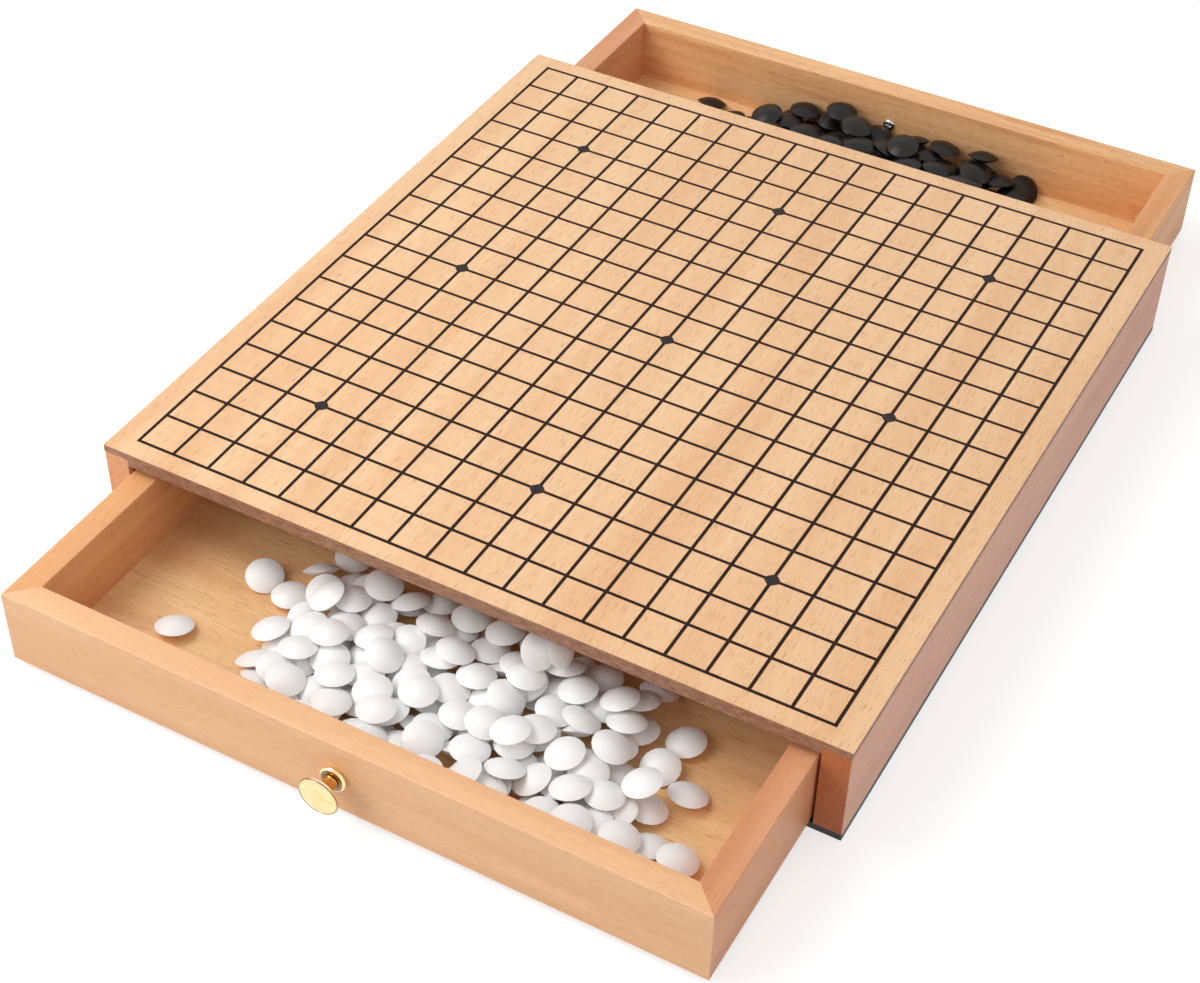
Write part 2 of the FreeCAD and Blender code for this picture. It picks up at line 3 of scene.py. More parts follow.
import bmesh
import bpy
import numpy
from mathutils import Euler, Matrix, Vector


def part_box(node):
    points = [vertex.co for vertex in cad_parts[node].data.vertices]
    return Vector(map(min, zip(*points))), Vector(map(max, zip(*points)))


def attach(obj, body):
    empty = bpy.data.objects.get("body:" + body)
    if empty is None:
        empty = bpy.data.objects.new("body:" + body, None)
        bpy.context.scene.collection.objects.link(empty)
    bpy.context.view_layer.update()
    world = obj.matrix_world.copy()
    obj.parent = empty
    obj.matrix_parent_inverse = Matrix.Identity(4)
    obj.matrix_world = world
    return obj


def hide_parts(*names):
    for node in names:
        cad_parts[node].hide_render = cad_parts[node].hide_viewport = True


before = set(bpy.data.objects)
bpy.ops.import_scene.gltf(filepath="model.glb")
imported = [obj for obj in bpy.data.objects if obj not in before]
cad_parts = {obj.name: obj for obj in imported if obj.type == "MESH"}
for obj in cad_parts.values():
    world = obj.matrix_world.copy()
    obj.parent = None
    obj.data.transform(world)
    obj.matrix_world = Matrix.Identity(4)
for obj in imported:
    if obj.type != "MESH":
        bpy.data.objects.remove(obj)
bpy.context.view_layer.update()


# ------------------------------------------------------------------------------------------------
# Felt and base board. A thin black felt is glued under a black-stained fibreboard, which closes
# the case from below and is what both drawers slide on.

def colour(red, green, blue):
    """A screen colour, each channel from 0 to 255, as the linear colour that a shader takes."""
    linear = []
    for channel in (red, green, blue):
        share = channel / 255
        linear.append(share / 12.92 if share <= 0.04045 else ((share + 0.055) / 1.055) ** 2.4)
    return (*linear, 1.0)


def add_step(tree, kind, settings=None, **sockets):
    """Add a node of a tree. A socket is named by its label, or in0, in1, ... by its number."""
    made = tree.nodes.new(kind)
    for name, value in (settings or {}).items():
        setattr(made, name, value)
    for name, value in sockets.items():
        numbered = name.startswith("in") and name[2:].isdigit()
        socket = made.inputs[int(name[2:])] if numbered else made.inputs[name.replace("_", " ")]
        if isinstance(value, bpy.types.NodeSocket):
            tree.links.new(value, socket)
        else:
            socket.default_value = value
    return made


def work_out(tree, operation, first, second=0.0):
    """One step of arithmetic in a tree, between two sockets or numbers."""
    return add_step(tree, "ShaderNodeMath", {"operation": operation}, in0=first,
                    in1=second).outputs[0]


class Finish:
    """One material, built node by node round its shader."""

    def __init__(self, name, **sockets):
        self.material = bpy.data.materials.new(name)
        self.material.use_nodes = True
        self.tree = self.material.node_tree
        self.shader = self.tree.nodes["Principled BSDF"]
        for socket, value in sockets.items():
            self.shader.inputs[socket.replace("_", " ")].default_value = value

    def node(self, kind, settings=None, **sockets):
        return add_step(self.tree, f"ShaderNode{kind}", settings, **sockets)

    def stretched(self, scale):
        """Object coordinates times scale, the pattern's cells to the metre along each axis."""
        place = self.node("TexCoord").outputs["Object"]
        return self.node("Mapping", Vector=place, Scale=scale).outputs["Vector"]

    def noise(self, scale, detail=3.0, roughness=0.55, distortion=0.0):
        made = self.node("TexNoise", Vector=self.stretched(scale), Scale=1.0, Detail=detail,
                         Roughness=roughness, Distortion=distortion)
        return made.outputs["Fac"]

    def ramp(self, factor, *stops):
        """Colour stops as (place, colour)."""
        made = self.node("ValToRGB", Fac=factor)
        elements = made.color_ramp.elements
        while len(elements) < len(stops):
            elements.new(0.5)
        for element, (place, shade) in zip(elements, stops):
            element.position = place
            element.color = shade
        return made.outputs["Color"]

    def levels(self, factor, low, high, start=0.0, end=1.0):
        """The part of factor from low to high, made to run from start to end."""
        made = self.node("MapRange", Value=factor, From_Min=low, From_Max=high, To_Min=start,
                         To_Max=end)
        return made.outputs["Result"]

    def mix(self, factor, first, second):
        """first where factor is 0 and second where it is 1, on the node's colour sockets."""
        made = self.node("Mix", {"data_type": "RGBA"}, in0=factor, in6=first, in7=second)
        return made.outputs[2]

    def drive(self, socket, output):
        """Let an output set the shader's socket of this name."""
        self.tree.links.new(output, self.shader.inputs[socket])

    def bump(self, height, strength, distance):
        made = self.node("Bump", Height=height, Strength=strength, Distance=distance)
        self.drive("Normal", made.outputs["Normal"])

    def paint(self, shade):
        self.drive("Base Color", shade)

    def polish(self, factor):
        self.drive("Roughness", factor)

    def dress(self, *nodes):
        """Put this finish on the CAD nodes of these names."""
        for name in nodes:
            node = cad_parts[name]
            for slot in node.material_slots:
                slot.material = self.material


def felt_finish():
    felt = Finish("black_felt", Roughness=0.95, Sheen_Weight=0.4, Sheen_Roughness=0.6)
    fibres = felt.noise((900, 700, 900), detail=4)
    felt.paint(felt.ramp(fibres, (0.3, colour(22, 22, 24)), (0.75, colour(52, 51, 54))))
    felt.bump(fibres, strength=0.5, distance=0.0004)
    return felt


def stained_board_finish():
    board = Finish("black_stained_board", Roughness=0.5)
    chips = board.noise((420, 420, 700), detail=5, roughness=0.7)
    board.paint(board.ramp(chips, (0.35, colour(26, 23, 22)), (0.7, colour(58, 50, 46))))
    board.polish(board.levels(chips, 0.2, 0.8, 0.42, 0.62))
    board.bump(chips, strength=0.25, distance=0.0002)
    return board


felt_finish().dress("base_felt")
stained_board_finish().dress("base_board")


# ------------------------------------------------------------------------------------------------
# Side walls and divider. Solid beech boards with the grain along their length, lightly pink under
# a satin lacquer. The divider stands unseen between the drawers.

def dimmed(shade, red, green, blue):
    """The colour with each channel cut to this share of itself."""
    return (shade[0] * red, shade[1] * green, shade[2] * blue, 1.0)


def beech(name, pale, deep, along, end_grain, lacquer=0.45, flecks=0.4, figure=(3.0, 40.0),
          pore=(135, 2300)):
    """Beech: broad tone, fine grain and short dark pores, all stretched along the grain.

    along is the grain's axis, and end_grain the colour of the faces across it. figure and pore
    are the cells to the metre of the tone and of the pores, with the grain and across it."""
    wood = Finish(name, Roughness=lacquer, Specular_IOR_Level=0.3, Coat_Weight=0.05,
                  Coat_Roughness=0.3)

    def grain_scale(lengthwise, across):
        return [lengthwise if axis == along else across for axis in "XYZ"]

    tone = wood.noise(grain_scale(*figure), detail=3, distortion=0.6)
    grain = wood.noise(grain_scale(22, 620), detail=4, roughness=0.6)
    pores = wood.noise(grain_scale(*pore), detail=1.5)
    silk = wood.noise(grain_scale(45, 170), detail=2)
    ground = wood.ramp(tone, (0.32, deep), (0.62, pale))
    shade = wood.mix(wood.levels(grain, 0.3, 0.75, 0.0, 0.42), ground, deep)
    shade = wood.mix(wood.levels(silk, 0.5, 0.8, 0.0, 0.3), shade, pale)
    dash = wood.levels(pores, 0.57, 0.7, 0.0, flecks)
    shade = wood.mix(dash, shade, dimmed(deep, 0.56, 0.42, 0.34))

    normal = wood.node("NewGeometry").outputs["Normal"]
    split = wood.node("SeparateXYZ", Vector=normal).outputs[along]
    facing = work_out(wood.tree, "ABSOLUTE", split)
    rings = wood.noise((700, 700, 700), detail=3, roughness=0.6)
    end_dark = dimmed(end_grain, 0.78, 0.78, 0.78)
    cut_face = wood.ramp(rings, (0.3, end_dark), (0.65, end_grain))
    wood.paint(wood.mix(wood.levels(facing, 0.85, 0.95), shade, cut_face))
    wood.polish(wood.levels(grain, 0.2, 0.8, lacquer - 0.06, lacquer + 0.1))
    wood.bump(wood.mix(0.5, grain, pores), strength=0.18, distance=0.0002)
    return wood


WALL_PALE = colour(232, 175, 147)
WALL_DEEP = colour(212, 150, 122)
PALE_END = colour(238, 172, 122)
PAINTED_SHADE_END = colour(198, 118, 72)

# The right wall's end grain is a darker copy of the left's: painted shade from the front drawer's
# side.
for side, end_grain in (("left", PALE_END), ("right", PAINTED_SHADE_END)):
    beech(f"{side}_wall_beech", WALL_PALE, WALL_DEEP, "Y", end_grain).dress(f"{side}_side_wall")
beech("divider_beech", WALL_PALE, WALL_DEEP, "X", PALE_END).dress("centre_divider")


# ------------------------------------------------------------------------------------------------
# Top panel. Sealed fibreboard whose bare edges show as a mottled red-brown band all round, under
# the veneer.

def fibreboard_finish():
    panel = Finish("fibreboard", Roughness=0.6)
    clumps = panel.noise((160, 160, 420), detail=5, roughness=0.75)
    specks = panel.noise((1300, 1300, 1300), detail=2)
    shade = panel.ramp(clumps, (0.34, colour(128, 88, 68)), (0.52, colour(164, 120, 94)),
                       (0.7, colour(194, 150, 120)))
    shade = panel.mix(panel.levels(specks, 0.55, 0.75, 0.0, 0.6), shade, colour(84, 54, 40))
    panel.paint(shade)
    panel.bump(specks, strength=0.3, distance=0.0002)
    return panel


fibreboard_finish().dress("top_panel")


# ------------------------------------------------------------------------------------------------
# Playing surface. Pale beech veneer with the grain from front to back, glued over the panel; its
# cut edge is darker than its face.

veneer = beech("veneer_beech", colour(250, 208, 163), colour(238, 187, 140), "Y",
               end_grain=colour(196, 150, 112), lacquer=0.42, flecks=0.68, pore=(110, 3000))
veneer.dress("surface_veneer")


# ------------------------------------------------------------------------------------------------
# Printed grid. Nineteen lines each way and nine star points in brown-black ink, a little worn
# along the grain of the veneer.

MERGE_DISTANCE = 1e-6
SORT_DECIMALS = 5


def ink_finish(name, shade, worn):
    ink = Finish(name, Roughness=0.6, Specular_IOR_Level=0.15)
    wear = ink.noise((1100, 260, 1100), detail=3)
    ink.paint(ink.ramp(wear, (0.42, shade), (0.85, worn)))
    ink.polish(ink.levels(wear, 0.2, 0.8, 0.52, 0.7))
    return ink


line_ink = ink_finish("line_ink", colour(30, 16, 10), colour(62, 38, 26))
star_ink = ink_finish("star_ink", colour(46, 38, 38), colour(70, 60, 58))


def new_tree(name, sockets):
    """A Geometry Nodes tree with a geometry in, a geometry out and these named inputs."""
    tree = bpy.data.node_groups.new(name, "GeometryNodeTree")
    tree.interface.new_socket("Geometry", in_out="OUTPUT", socket_type="NodeSocketGeometry")
    tree.interface.new_socket("Geometry", in_out="INPUT", socket_type="NodeSocketGeometry")
    for label, kind in sockets:
        tree.interface.new_socket(label, in_out="INPUT", socket_type=f"NodeSocket{kind}")
    return tree


def slab_of(tree, sheet, thickness):
    """A flat sheet made a closed slab, thickened upwards."""
    raised = add_step(tree, "GeometryNodeExtrudeMesh", Mesh=sheet, Offset_Scale=thickness,
                      Individual=False)
    underside = add_step(tree, "GeometryNodeFlipFaces", Mesh=sheet)
    both = add_step(tree, "GeometryNodeJoinGeometry")
    for made in (raised, underside):
        tree.links.new(made.outputs["Mesh"], both.inputs["Geometry"])
    return add_step(tree, "GeometryNodeMergeByDistance", Geometry=both.outputs["Geometry"],
                    Distance=MERGE_DISTANCE).outputs["Geometry"]


def set_on_points(tree, points, solid, turn=Euler()):
    """One instance of the solid on every point."""
    return add_step(tree, "GeometryNodeInstanceOnPoints", Points=points, Instance=solid,
                    Rotation=turn).outputs["Instances"]


def give_out(tree, instances, finish):
    """The instances as plain mesh with their finish, out of the tree."""
    plain = add_step(tree, "GeometryNodeRealizeInstances", Geometry=instances)
    done = add_step(tree, "GeometryNodeSetMaterial", Geometry=plain.outputs["Geometry"],
                    Material=finish)
    add_step(tree, "NodeGroupOutput", Geometry=done.outputs["Geometry"])


def net_tree():
    """On every point, a sheet of ink with a square hole for each cell between the lines."""
    tree = new_tree("net_print", [("lines", "Int"), ("column_pitch", "Float"),
                                  ("row_pitch", "Float"), ("line_width", "Float"),
                                  ("thickness", "Float"), ("ink", "Material")])
    given = add_step(tree, "NodeGroupInput").outputs
    edges = work_out(tree, "MULTIPLY", given["lines"], 2.0)
    span = work_out(tree, "SUBTRACT", edges, 1.0)
    sheet = add_step(tree, "GeometryNodeMeshGrid", Size_X=span, Size_Y=span, Vertices_X=edges,
                     Vertices_Y=edges).outputs["Mesh"]
    place = add_step(tree, "GeometryNodeInputPosition").outputs[0]
    parts = add_step(tree, "ShaderNodeSeparateXYZ", Vector=place).outputs
    half_span = work_out(tree, "MULTIPLY", span, 0.5)
    middle = work_out(tree, "MULTIPLY", work_out(tree, "SUBTRACT", given["lines"], 1.0), 0.5)
    gaps, spots = [], []
    for axis, pitch in (("X", given["column_pitch"]), ("Y", given["row_pitch"])):
        edge = work_out(tree, "ADD", parts[axis], half_span)
        gaps.append(work_out(tree, "MODULO", work_out(tree, "FLOOR", edge), 2.0))
        pair = work_out(tree, "MULTIPLY", work_out(tree, "ADD", edge, 0.5), 0.5)
        line = work_out(tree, "FLOOR", pair)
        side = work_out(tree, "SUBTRACT", edge, work_out(tree, "MULTIPLY", line, 2.0))
        to_side = work_out(tree, "MULTIPLY", work_out(tree, "SUBTRACT", side, 0.5),
                           given["line_width"])
        to_line = work_out(tree, "MULTIPLY", work_out(tree, "SUBTRACT", line, middle), pitch)
        spots.append(work_out(tree, "ADD", to_line, to_side))
    net = add_step(tree, "GeometryNodeDeleteGeometry", {"domain": "FACE"}, Geometry=sheet,
                   Selection=work_out(tree, "MULTIPLY", *gaps))
    spot = add_step(tree, "ShaderNodeCombineXYZ", X=spots[0], Y=spots[1]).outputs[0]
    spaced = add_step(tree, "GeometryNodeSetPosition", Geometry=net.outputs["Geometry"],
                      Position=spot)
    slab = slab_of(tree, spaced.outputs["Geometry"], given["thickness"])
    give_out(tree, set_on_points(tree, given["Geometry"], slab), given["ink"])
    return tree


def add_object(name, data):
    """An object of this data, in the scene at the origin."""
    made = bpy.data.objects.new(name, data)
    bpy.context.collection.objects.link(made)
    return made


def points_object(name, places):
    """A loose point at each place, for a tree to set its solids on."""
    mesh = bpy.data.meshes.new(name)
    mesh.from_pydata([tuple(place) for place in places], [], [])
    return add_object(name, mesh)


def keep_result(piece, modifier):
    """Make what the modifier gives the piece's own mesh, and take the modifier off."""
    evaluated = piece.evaluated_get(bpy.context.evaluated_depsgraph_get())
    mesh = bpy.data.meshes.new_from_object(evaluated)
    piece.modifiers.remove(modifier)
    piece.data = mesh


def grow(piece, tree, **values):
    """Run a tree on the piece with its named inputs set, and keep the result as a plain mesh."""
    modifier = piece.modifiers.new(tree.name, "NODES")
    modifier.node_group = tree
    for item in tree.interface.items_tree:
        if item.in_out == "INPUT" and item.name in values:
            modifier[item.identifier] = values[item.name]
    keep_result(piece, modifier)
    materials = piece.data.materials
    for number in reversed(range(len(materials))):
        if materials[number] is None:
            materials.pop(index=number)
    return piece


def star_tree():
    """On every point, a flat square with rounded corners, turned by STAR_TURN."""
    tree = new_tree("star_print", [("side", "Float"), ("corner", "Float"), ("thickness", "Float"),
                                   ("ink", "Material")])
    given = add_step(tree, "NodeGroupInput").outputs
    square = add_step(tree, "GeometryNodeCurvePrimitiveQuadrilateral", Width=given["side"],
                      Height=given["side"])
    round_off = add_step(tree, "GeometryNodeFilletCurve", {"mode": "POLY"},
                         Curve=square.outputs["Curve"], Radius=given["corner"],
                         Count=CORNER_STEPS)
    disc = add_step(tree, "GeometryNodeFillCurve", {"mode": "NGONS"},
                    Curve=round_off.outputs["Curve"])
    slab = slab_of(tree, disc.outputs["Mesh"], given["thickness"])
    turned = set_on_points(tree, given["Geometry"], slab, Euler((0, 0, STAR_TURN)))
    give_out(tree, turned, given["ink"])
    return tree


def islands(node):
    """The corners of each solid in a CAD node, in a fixed order, from a merged copy of its mesh."""
    mesh = bmesh.new()
    mesh.from_mesh(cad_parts[node].data)
    bmesh.ops.remove_doubles(mesh, verts=mesh.verts, dist=MERGE_DISTANCE)
    found = []
    waiting = set(mesh.verts)
    while waiting:
        reached = {waiting.pop()}
        border = set(reached)
        while border:
            border = {edge.other_vert(corner) for corner in border for edge in corner.link_edges}
            border -= reached
            reached |= border
        waiting -= reached
        found.append(numpy.array(sorted(tuple(corner.co) for corner in reached)))
    mesh.free()
    found.sort(key=lambda corners: tuple(corners.mean(axis=0).round(SORT_DECIMALS)))
    return found


LINES = 19
COLUMN_PITCH = 0.022
ROW_PITCH = 0.0237
LINE_WIDTH = 0.0018
net_low, net_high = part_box("grid_lines")
net_middle = [(low + high) / 2 for low, high in zip(net_low, net_high)]
net = grow(points_object("printed_lines", [(*net_middle[:2], net_low[2])]), net_tree(),
           lines=LINES, column_pitch=COLUMN_PITCH, row_pitch=ROW_PITCH, line_width=LINE_WIDTH,
           thickness=net_high[2] - net_low[2], ink=line_ink.material)
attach(net, "case")
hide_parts("grid_lines")

STAR_SIDE = 0.007
STAR_CORNER = 0.0021
STAR_TURN = math.radians(45)
CORNER_STEPS = 6
star_low, star_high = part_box("star_points")
star_middles = [[*corners.mean(axis=0)[:2], star_low[2]] for corners in islands("star_points")]
stars = grow(points_object("printed_stars", star_middles), star_tree(), side=STAR_SIDE,
             corner=STAR_CORNER, thickness=star_high[2] - star_low[2], ink=star_ink.material)
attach(stars, "case")
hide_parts("star_points")


# ------------------------------------------------------------------------------------------------
# Drawer boards. Four orange-tan beech boards to a drawer, mitred at the corners, each with the
# grain along its own length. The side boards are darker and redder than the front and back ones,
# the right pair most: painted shade and painted warm bounce light of the drawers' insides. The
# rear drawer's front is cut so that its figure shows as golden brown streaks.

DRAWER_END = colour(214, 148, 96)

crosswise = beech("drawer_beech_across", colour(250, 201, 155), colour(234, 178, 130), "X",
                  DRAWER_END, flecks=0.3)
crosswise.dress("front_drawer_face", "front_drawer_back", "rear_drawer_back")
streaky = beech("drawer_beech_streaked", colour(253, 202, 147), colour(229, 164, 110), "X",
                DRAWER_END, flecks=0.55, figure=(6.0, 130.0))
streaky.dress("rear_drawer_face")
# Left and right copies of one side-board wood, the right one darker: painted shade.
for side, pale, deep in (("left", colour(241, 181, 126), colour(220, 150, 96)),
                         ("right", colour(234, 170, 126), colour(212, 141, 98))):
    boards = beech(f"drawer_beech_{side}", pale, deep, "Y", DRAWER_END, flecks=0.3)
    boards.dress(f"front_drawer_{side}_side", f"rear_drawer_{side}_side")


# ------------------------------------------------------------------------------------------------
# Drawer floors. Thin beech plywood let into the boards' rebate, with wavy grain from side to side.

floor_wood = beech("floor_plywood", colour(254, 212, 158), colour(238, 184, 130), "X",
                   end_grain=colour(180, 130, 86), lacquer=0.5, flecks=0.55,
                   figure=(5.0, 55.0))
floor_wood.dress("front_drawer_floor", "rear_drawer_floor")


# ------------------------------------------------------------------------------------------------
# Knobs. Turned and polished brass on each drawer's face: a bun-shaped foot, a thin neck and a
# thick disc with a painted highlight on its rim, a fine groove inside it and a slightly domed face.

TURNED_SIDES = 64
SHARP_TURN = math.radians(50)
FOOT_STEPS = 10
COVE_STEPS = 6
FLARE_STEPS = 8
RIM_STEPS = 5
DOME_STEPS = 10
# Where the knob's colours, its painted shade and its painted highlights change, in shares of its
# length from the drawer's face to the tip
FOOT_END = 0.19
COVE_START, COVE_END = 0.202, 0.222
NECK_START, NECK_END = 0.26, 0.6
DISC_BACK, BACK_END, SIDE_START = 0.79, 0.792, 0.8
LINE_EDGE, LINE_START, LINE_END = 0.876, 0.884, 0.902
DISC_FRONT, FACE_START = 0.909, 0.911


def brass_finish():
    """Polished brass: painted shade in the cove and in a line round the disc's side, a painted
    dark reflection up the neck and a painted highlight on the disc's side.
    """
    brass = Finish("polished_brass", Metallic=1.0, Roughness=0.1)
    marks = brass.noise((260, 260, 260), detail=2)
    face = brass.ramp(marks, (0.3, colour(240, 208, 150)), (0.7, colour(250, 224, 176)))
    share = brass.node("Attribute", {"attribute_name": "share"}).outputs["Fac"]
    painted_highlight = colour(255, 238, 200)
    painted_shade = colour(104, 60, 18)
    # The cove and the line on the disc's side carry painted shade, the neck's darkening is a
    # painted dark reflection, and the disc's bright side is a painted highlight.
    stem = brass.ramp(share, (FOOT_END, colour(252, 232, 186)), (COVE_START, painted_shade),
                      (COVE_END, painted_shade), (NECK_START, colour(232, 184, 110)),
                      (NECK_END, colour(206, 148, 70)), (DISC_BACK, colour(240, 205, 140)))
    side = brass.ramp(share, (LINE_EDGE, painted_highlight), (LINE_START, painted_shade), (LINE_END, painted_shade),
                      (DISC_FRONT, painted_highlight))
    shade = brass.mix(brass.levels(share, BACK_END, SIDE_START), stem, side)
    brass.paint(brass.mix(brass.levels(share, DISC_FRONT, FACE_START), shade, face))
    brass.polish(brass.levels(marks, 0.3, 0.8, 0.06, 0.12))
    return brass


def arc(middle, radius, start, end, steps):
    """Points (distance, radius) of a profile along an arc, with its angles in degrees."""
    points = []
    for step in range(steps + 1):
        angle = math.radians(start + (end - start) * step / steps)
        points.append((middle[0] + radius * math.cos(angle), middle[1] + radius * math.sin(angle)))
    return points


def knob_profile(radius, projection):
    """The knob's outline, from the drawer's face to the tip. Its parts are shares of radius."""
    foot_edge = 0.145 * radius
    foot = 0.664 * radius
    seat = foot - 0.6 * foot_edge
    neck = 0.318 * radius
    cove = 0.1 * radius
    flare = 0.2 * radius
    flare_length = 0.45 * radius
    rim = 0.045 * radius
    disc_back = projection - 0.3 * radius
    dome = 0.13 * radius
    rim_front = projection - dome
    groove_depth = 0.03 * radius
    groove = 0.95 * radius
    face = 0.93 * radius
    points = [(0.0, foot - foot_edge), (0.0, seat)]
    points += arc((foot_edge, foot - foot_edge), foot_edge, 150, 0, FOOT_STEPS)
    points += arc((2 * foot_edge + cove, neck + cove), cove, 180, 270, COVE_STEPS)
    for step in range(FLARE_STEPS + 1):
        angle = math.pi / 2 * step / FLARE_STEPS
        points.append((disc_back - flare_length * (1 - math.sin(angle)),
                       neck + flare * (1 - math.cos(angle))))
    points += arc((disc_back + rim, radius - rim), rim, 180, 90, RIM_STEPS)
    points += arc((rim_front - rim, radius - rim), rim, 90, 0, RIM_STEPS)
    points += [(rim_front - groove_depth, groove), (rim_front, face)]
    for step in range(1, DOME_STEPS + 1):
        share = 1 - step / DOME_STEPS
        points.append((projection - dome * share * share, face * share))
    return points


def link_mesh(name, mesh):
    """An object of this mesh under construction, in the scene."""
    data = bpy.data.meshes.new(name)
    mesh.to_mesh(data)
    mesh.free()
    return add_object(name, data)


def spin(name, profile, middle, outwards):
    """A turned piece round an axis along Y from middle. Each point of profile is (along, across).

    Its share attribute is how far along the piece a point is, from 0 to 1."""
    mesh = bmesh.new()
    share = mesh.verts.layers.float.new("share")
    rings = []
    for along, across in profile:
        ring = []
        for turn in range(TURNED_SIDES):
            angle = 2 * math.pi * turn / TURNED_SIDES
            place = (across * math.cos(angle), outwards * along, across * math.sin(angle))
            corner = mesh.verts.new(Vector(middle) + Vector(place))
            corner[share] = along / profile[-1][0]
            ring.append(corner)
        rings.append(ring)
    for first, second in zip(rings, rings[1:]):
        for turn in range(TURNED_SIDES):
            after = (turn + 1) % TURNED_SIDES
            mesh.faces.new((first[turn], first[after], second[after], second[turn]))
    mesh.faces.new(rings[0])
    bmesh.ops.remove_doubles(mesh, verts=mesh.verts, dist=MERGE_DISTANCE)
    bmesh.ops.recalc_face_normals(mesh, faces=mesh.faces)
    for face in mesh.faces:
        face.smooth = len(face.verts) == 4
    for edge in mesh.edges:
        edge.smooth = edge.is_manifold and edge.calc_face_angle() < SHARP_TURN
    return link_mesh(name, mesh)


brass = brass_finish()
for end, outwards in (("front", -1), ("rear", 1)):
    low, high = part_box(f"{end}_drawer_knob")
    face = high[1] if outwards < 0 else low[1]
    middle = ((low[0] + high[0]) / 2, face, (low[2] + high[2]) / 2)
    knob = spin(f"{end}_knob_turned", knob_profile((high[0] - low[0]) / 2, high[1] - low[1]),
                middle, outwards)
    knob.data.materials.append(brass.material)
    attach(knob, f"{end}_drawer")
    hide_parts(f"{end}_drawer_knob")


# ------------------------------------------------------------------------------------------------
# Knob bolts. A plated round head with a cross slot, on the inner face of each drawer's front, and
# a shank that runs through the board into the knob.

HEAD_RADIUS = 0.004
HEAD_EDGE = 0.0005
HEAD_HEIGHT = 0.0024
SHANK_RADIUS = 0.002
SLOT_WIDTH = 0.0009
SLOT_LENGTH = 0.0044
SLOT_DEPTH = 0.0012


def plated_finish():
    plate = Finish("plated_steel", Metallic=1.0, Roughness=0.25)
    marks = plate.noise((900, 900, 900), detail=3)
    plate.paint(plate.ramp(marks, (0.3, colour(186, 184, 180)), (0.7, colour(222, 220, 216))))
    plate.polish(plate.levels(marks, 0.3, 0.8, 0.14, 0.28))
    return plate


def bolt_profile(length):
    """The bolt's outline from the shank's tip to the top of its head."""
    under_head = length - HEAD_HEIGHT
    points = [(0.0, SHANK_RADIUS), (under_head, SHANK_RADIUS), (under_head, HEAD_RADIUS),
              (under_head + HEAD_EDGE, HEAD_RADIUS)]
    for step in range(1, DOME_STEPS + 1):
        angle = math.pi / 2 * step / DOME_STEPS
        points.append((under_head + HEAD_EDGE + (HEAD_HEIGHT - HEAD_EDGE) * math.sin(angle),
                       HEAD_RADIUS * math.cos(angle)))
    return points


def cross_block(middle, outwards):
    """A block with a cross for its section, standing SLOT_DEPTH deep in the head's top."""
    mesh = bmesh.new()
    outline = []
    for quarter in range(4):
        turn = Matrix.Rotation(-quarter * math.pi / 2, 3, "Y")
        for across, up in ((SLOT_WIDTH, -SLOT_WIDTH), (SLOT_LENGTH, -SLOT_WIDTH),
                           (SLOT_LENGTH, SLOT_WIDTH)):
            corner = turn @ Vector((across / 2, -outwards * SLOT_DEPTH, up / 2))
            outline.append(mesh.verts.new(Vector(middle) + corner))
    base = mesh.faces.new(outline)
    raised = bmesh.ops.extrude_face_region(mesh, geom=[base])["geom"]
    top = [part for part in raised if isinstance(part, bmesh.types.BMVert)]
    bmesh.ops.translate(mesh, verts=top, vec=(0, outwards * 2 * SLOT_DEPTH, 0))
    bmesh.ops.recalc_face_normals(mesh, faces=mesh.faces)
    return link_mesh("cross_block", mesh)


def cut_away(piece, block):
    """Cut the block out of the piece, and throw the block away."""
    modifier = piece.modifiers.new("slot", "BOOLEAN")
    modifier.object = block
    modifier.solver = "EXACT"
    keep_result(piece, modifier)
    bpy.data.objects.remove(block)


plated = plated_finish()
for end, inwards in (("front", 1), ("rear", -1)):
    low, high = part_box(f"{end}_drawer_knob_bolt")
    tip, top = (low[1], high[1]) if inwards > 0 else (high[1], low[1])
    centre = ((low[0] + high[0]) / 2, (low[2] + high[2]) / 2)
    bolt = spin(f"{end}_knob_bolt_turned", bolt_profile(abs(top - tip)),
                (centre[0], tip, centre[1]), inwards)
    cut_away(bolt, cross_block((centre[0], top, centre[1]), inwards))
    bolt.data.materials.append(plated.material)
    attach(bolt, f"{end}_drawer")
    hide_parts(f"{end}_drawer_knob_bolt")


# ------------------------------------------------------------------------------------------------
# Stones. Pressed lens-shaped stones with a rim where the two faces meet, white in the front
# drawer and black in the rear one. Each lies where its solid does, and has a tone of its own.

STONE_RADIUS = 0.0102
STONE_HALF_THICKNESS = 0.0035
LENS_POWER = 2.0
STONE_SEGMENTS = 20
STONE_RINGS = 8
RIM_BAND = 0.01
# The number of a Random Value node's float output
RANDOM_FLOAT = 1


def stone_finish(name, tones, roughness, gloss, specular=0.5):
    stone = Finish(name, Roughness=roughness, Coat_Weight=gloss, Coat_Roughness=0.2,
                   Specular_IOR_Level=specular)
    tone = stone.node("Attribute", {"attribute_name": "tone"}).outputs["Fac"]
    cloud = stone.noise((120, 120, 120), detail=3)
    own = stone.ramp(tone, (0.0, tones[0]), (1.0, tones[1]))
    stone.paint(stone.mix(stone.levels(cloud, 0.35, 0.75, 0.0, 0.4), own, tones[0]))
    pits = stone.noise((2200, 2200, 2200), detail=2)
    stone.polish(stone.levels(pits, 0.3, 0.8, roughness - 0.05, roughness + 0.08))
    stone.bump(pits, strength=0.06, distance=0.0001)
    return stone


